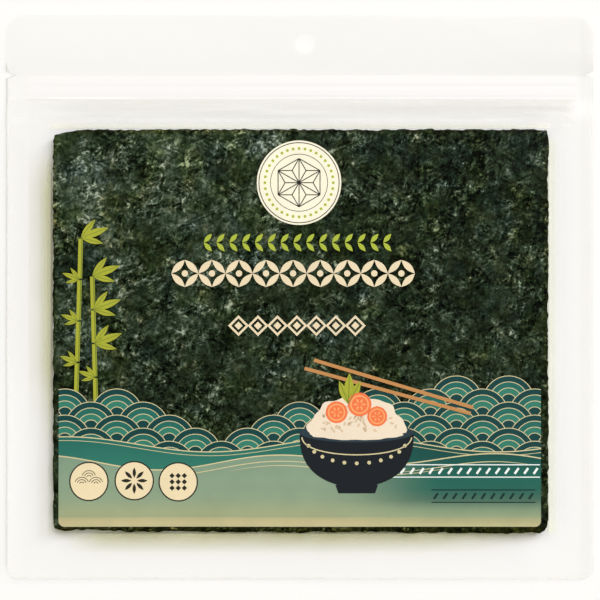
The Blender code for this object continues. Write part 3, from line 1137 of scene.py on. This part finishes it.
def on_bowl(angle, half_width, depth, power=1, lower=0):
    """A point on a curve that hangs from the bowl's rim, or stands on it at a depth below 0."""
    return (BOWL_X + half_width * math.cos(angle),
            BOWL_RIM - depth * math.sin(angle) ** power - lower)


def draw_bowl(inks):
    """A dark bowl with two chopsticks behind it and a line of dots round it."""
    for start, end in CHOPSTICKS:
        inks["wood"].stroke(np.linspace(start, end, 12), 1.5, 9)
    inks["navy"].shape(10, [on_bowl(a, BOWL_HALF, BOWL_DEPTH, 0.75)
                            for a in np.linspace(0, math.pi, 40)])
    inks["navy"].shape(9.5, [(BOWL_X + x, BOWL_RIM - BOWL_DEPTH + y) for x, y in FOOT])
    inks["navy_rim"].shape(10.4, [on_bowl(a, BOWL_HALF, -RIM_HALF_HEIGHT)
                                  for a in np.linspace(0, 2 * math.pi, 60, endpoint=False)])
    inks["contour"].stroke([on_bowl(a, 0.965 * BOWL_HALF, 8.2, 0.8, 1.2)
                            for a in np.linspace(0.06, math.pi - 0.06, 40)], 0.5, 10.4)
    for a in np.linspace(0.35, math.pi - 0.35, 11):
        dot = on_bowl(a, 0.9 * BOWL_HALF, 12, 0.9, 1)
        inks["contour"].ring(dot, 0, 0.8, 10.4, steps=14)


def draw_rice(inks):
    """A heap of rice on the bowl, with three orange slices and three leaves."""
    heap = []
    for a in np.linspace(0, 2 * math.pi, 90, endpoint=False):
        height = HEAP_RISE if math.sin(a) > 0 else HEAP_SINK
        bumps = 1 + 0.035 * math.sin(9 * a) + 0.02 * math.sin(17 * a + 1)
        heap.append(on_bowl(a, HEAP_HALF * bumps, -height * bumps))
    inks["rice"].shape(10.8, heap)
    random = np.random.default_rng(8)
    for _ in range(GRAINS):
        a, r = random.uniform(0, math.pi), math.sqrt(random.uniform(0.02, 0.8))
        place = on_bowl(a, 19 * r, -13 * r, lower=-0.6)
        inks["rice_shade"].shape(11.2, petal(place, 1.1, -1.1, random.uniform(0, 360), 0.22, 5))
    for x, y, radius in SLICES:
        inks["orange"].ring((x, y), 0, radius, 11.6, steps=30)
        inks["orange_light"].ring((x, y), radius * 0.66, radius * 0.8, 12, steps=30)
        for turn in range(0, 360, 60):
            inks["orange_light"].shape(12, petal((x, y), 0.6, radius * 0.56, turn, 0.2, 5))
    for turn, length in ((62, 11), (88, 13), (112, 10.5)):
        inks["leaf"].shape(11.4, petal(GARNISH, 0, length, turn, 0.16))
        inks["leaf_dark"].stroke([GARNISH, turned(GARNISH, length * 0.9, turn)], 0.3, 11.8)


def draw_bamboo(inks):
    """Two canes at the left that stand behind the scales, with leaves in threes."""
    for x, foot, top, lean, sides in CANES:
        joints = np.linspace(foot, top, len(sides) + 1)
        for joint, (side, start, end) in enumerate(zip(sides, joints, joints[1:])):
            low_x = x + lean * (joint - 1.5) / 4
            high_x = low_x + lean / 5
            path = np.linspace((low_x, start + 0.35), (high_x, end - 0.35), 5)
            inks["leaf"].stroke(path, 1.9, 2)
            inks["leaf_dark"].stroke(path + (0.55, 0), 0.4, 2.4)
            for turn in CANE_LEAVES:
                angle = turn if side > 0 else 180 - turn
                length = (12.5 - abs(turn - 20) * 0.08) * (1 if side > 0 else 0.62)
                inks["leaf"].shape(9.3, petal((high_x, end), 0, length, angle, 0.13))
                vein = [(high_x, end), turned((high_x, end), length * 0.92, angle)]
                inks["leaf_dark"].stroke(vein, 0.22, 9.7)


def draw_emblem(inks):
    """A cream disc with a ring of dots round a six-pointed hemp-leaf star."""
    inks["disc"].ring(EMBLEM, 0, 17.8, 9, steps=90)
    inks["dark"].ring(EMBLEM, 16.7, 17.05, 9.6, steps=90)
    inks["dark"].ring(EMBLEM, 11.9, 12.15, 9.6, steps=72)
    for turn in range(0, 360, 10):
        inks["label"].ring(turned(EMBLEM, 14.4, turn), 0, 0.62, 9.6, steps=12)
    for turn in range(0, 360, 60):
        tip, next_tip = (turned(EMBLEM, 10.2, turn + side) for side in (30, 90))
        for corner in (turned(EMBLEM, 5.9, turn + side) for side in (0, 60)):
            inks["dark"].stroke([EMBLEM, corner], 0.4, 9.6)
            inks["dark"].stroke([corner, tip], 0.4, 9.6)
        inks["dark"].stroke([EMBLEM, tip], 0.4, 9.8)
        inks["dark"].stroke([tip, next_tip], 0.4, 9.7)


def draw_badges(inks):
    """Three discs: little scales, a flower of eight petals, and nine lozenges."""
    for centre in BADGES:
        inks["dark"].ring(centre, 0, 8.3, 9, steps=60)
        inks["peach"].ring(centre, 0, 7.75, 9.6, steps=60)
    scales, flower, lozenges = BADGES
    for x, y in ((-3, -1.2), (3, -1.2), (0, 1.6)):
        for radius in (3.1, 2.1, 1.1):
            spot = (scales[0] + x, scales[1] + y)
            inks["dark"].ring(spot, radius - 0.28, radius, 10.2, 20, 140, 14)
    for turn in range(0, 360, 45):
        inks["dark"].shape(10.2, petal(flower, 1.2, 5.6, turn, 0.17))
    for across in (-2.6, 0, 2.6):
        for up in (-2.6, 0, 2.6):
            inks["dark"].shape(10.2, lozenge((lozenges[0] + across, lozenges[1] + up), 1.15))


def row_of(row, steps):
    x, y, pitch = row
    return [(pitch * step + x, y) for step in steps]


def draw_rows(inks):
    """Rows of ornament: a garland, a chain of petals, lozenges and two bands of dashes."""
    for centre in row_of(GARLAND, range(15)):
        for turn in (48, -48):
            inks["label"].shape(9, petal(centre, 0, 5, turn, 0.2))
    for centre in row_of(CHAIN, range(-4, 5)):
        corners = lozenge(centre, CHAIN[2] / 2)
        for start, end in zip(corners, corners[1:] + corners[:1]):
            inks["cream"].shape(9, lens(start, end, 0.17, 9))
        inks["cream"].ring(centre, 0, 1.35, 9, steps=20)
    for centre in row_of(LOZENGES, range(-3, 4)):
        inks["cream"].shape(9, lozenge(centre, 4.4), lozenge(centre, 3.1))
        inks["cream"].shape(9, lozenge(centre, 1.7))
    for ink, start, count, y in DASHES:
        for x in start + DASH_PITCH * np.arange(count):
            inks[ink].stroke([(x, y - 1.2), (x + 1.7, y + 1.2)], 0.95, 9)
        for lift in (-2.6, 2.6):
            ends = (start - 1, y + lift), (start + DASH_PITCH * count - 1.3, y + lift)
            inks[ink].stroke(np.linspace(*ends, 12), 0.45, 9)


def make_print():
    inks = {name: Ink() for name in INK_COLOURS}
    for draw in (draw_scales, draw_fields, draw_bowl, draw_rice, draw_bamboo, draw_emblem,
                 draw_badges, draw_rows):
        draw(inks)
    for name, ink in inks.items():
        ink.build("print_" + name, new_material("ink_" + name, ink_surface, INK_COLOURS[name]))


# ---------------- stage
FLOOR = -0.04 * MM
FLOOR_SIZE = 4
FLOOR_COLOUR = (0.916, 0.911, 0.923)
SKY_COLOUR = (1.0, 0.99, 0.72)
SKY_TONES = ((0.80, 0.67), (0.96, 0.02))  # (sine of the elevation, brightness)
LAMP_COLOUR = (0.87, 0.86, 1.0)
# Each lamp as (name, azimuth, elevation, distance, size, power)
LAMPS = (("key", 60, 56, 14.4, 11.0, 1450), ("low", 36, 24, 9.6, 3.2, 343))
LENS, SENSOR = 100, 36
VIEW_MIDDLE = (0.1 * MM, -1.2 * MM)
VIEW_WIDTH = 254.5 * MM


def make_stage():
    bpy.ops.mesh.primitive_plane_add(size=FLOOR_SIZE, location=(0, 0, FLOOR))
    floor = bpy.context.object
    floor.name = "floor"
    floor.data.materials.append(new_material(
        "floor_white", lambda place: plain(place.tree, "Diffuse", FLOOR_COLOUR)))


def add_lamp(name, azimuth, elevation, distance, size, power):
    lamp = bpy.data.lights.new(name, "AREA")
    lamp.shape = "DISK"
    lamp.size, lamp.energy, lamp.color = size, power, LAMP_COLOUR
    placed = new_object(name, lamp)
    flat, height = turned((0, 0), distance, elevation)
    placed.location = (*turned((0, 0), flat, azimuth), height)
    placed.rotation_euler = (math.radians(90 - elevation), 0, math.radians(azimuth + 90))


def make_light():
    """A broad lamp to the upper right, a low one to the right, and warm light from all round."""
    world = bpy.data.worlds.new("studio")
    bpy.context.scene.world = world
    world.use_nodes = True
    tree = world.node_tree
    direction = Value(node(tree, "TexCoord").outputs["Generated"])
    height = Value(node(tree, "SeparateXYZ", {0: direction}).outputs["Z"])
    tones = ramp(height, [(place, [strength * value for value in SKY_COLOUR])
                          for place, strength in SKY_TONES])
    tree.links.new(tones.socket, tree.nodes["Background"].inputs["Color"])
    for lamp in LAMPS:
        add_lamp(*lamp)


def make_camera():
    """Straight above the pouch, as far off as makes the picture VIEW_WIDTH wide."""
    data = bpy.data.cameras.new("camera")
    data.lens, data.sensor_width = LENS, SENSOR
    camera = new_object("camera", data)
    camera.location = (*VIEW_MIDDLE, VIEW_WIDTH * LENS / SENSOR)
    bpy.context.scene.camera = camera


make_camera()
make_stage()
make_light()
bpy.context.scene.view_settings.view_transform = "Standard"
make_film()
make_zip()
make_edge()
make_sheets()
make_print()
